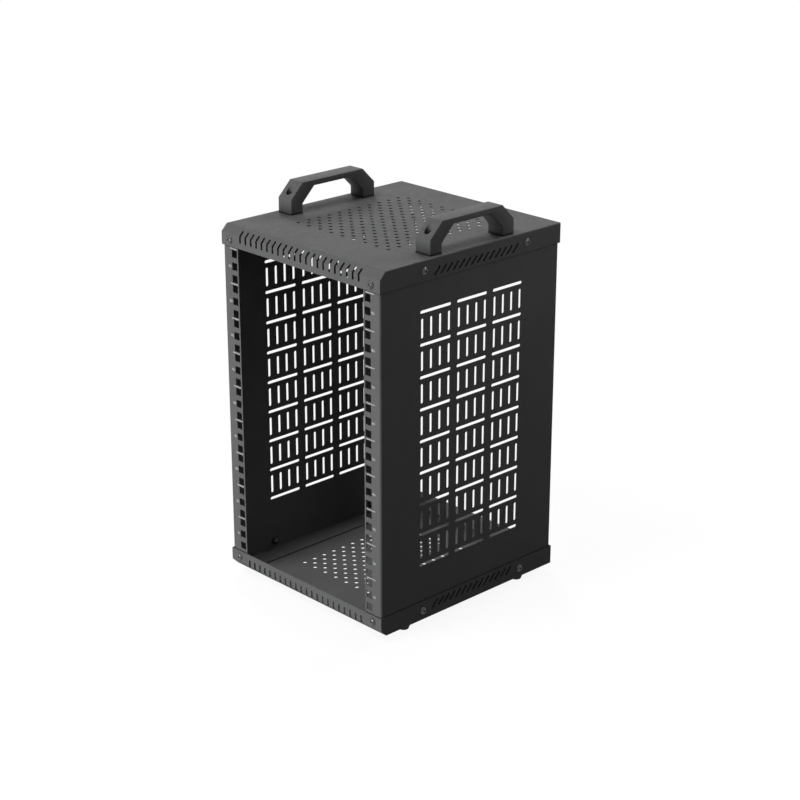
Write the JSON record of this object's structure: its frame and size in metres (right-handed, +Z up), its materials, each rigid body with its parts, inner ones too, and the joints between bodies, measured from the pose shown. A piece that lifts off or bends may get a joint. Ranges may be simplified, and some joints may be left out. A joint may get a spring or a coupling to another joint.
{
  "type": "open frame rack",
  "caption": "Free-standing open frame rack for ten-inch equipment: folded side panels with square-hole rails, slotted sides, vented cover and tray, carry handles and rubber feet.",
  "frame": {"origin": "middle of the footprint on the surface the feet stand on", "axes": "+Z up, -Y out of the front face, +X to the right of someone facing the front"},
  "size_m": [0.2852, 0.3052, 0.5026],
  "materials": {
    "powder_coat": "fine-textured graphite black powder coat on steel sheet",
    "handle": "satin black coat on aluminium bar",
    "screw": "black oxide",
    "nut": "black zinc plate",
    "rubber": "moulded black rubber"
  },
  "bodies": {
    "root": {"top_cover": "powder_coat", "bottom_tray": "powder_coat", "left_side_panel": "powder_coat", "right_side_panel": "powder_coat", "left_handle": "handle", "right_handle": "handle", "left_handle_screws": "screw", "right_handle_screws": "screw", "cover_front_screws": "screw", "cover_rear_screws": "screw", "cover_left_screws": "screw", "cover_right_screws": "screw", "tray_front_screws": "screw", "tray_rear_screws": "screw", "tray_left_screws": "screw", "tray_right_screws": "screw", "left_handle_nuts": "nut", "right_handle_nuts": "nut", "left_front_nuts": "nut", "left_side_nuts": "nut", "left_rear_nuts": "nut", "right_front_nuts": "nut", "right_side_nuts": "nut", "right_rear_nuts": "nut", "front_left_foot": "rubber", "front_right_foot": "rubber", "rear_left_foot": "rubber", "rear_right_foot": "rubber"}
  },
  "joints": []
}
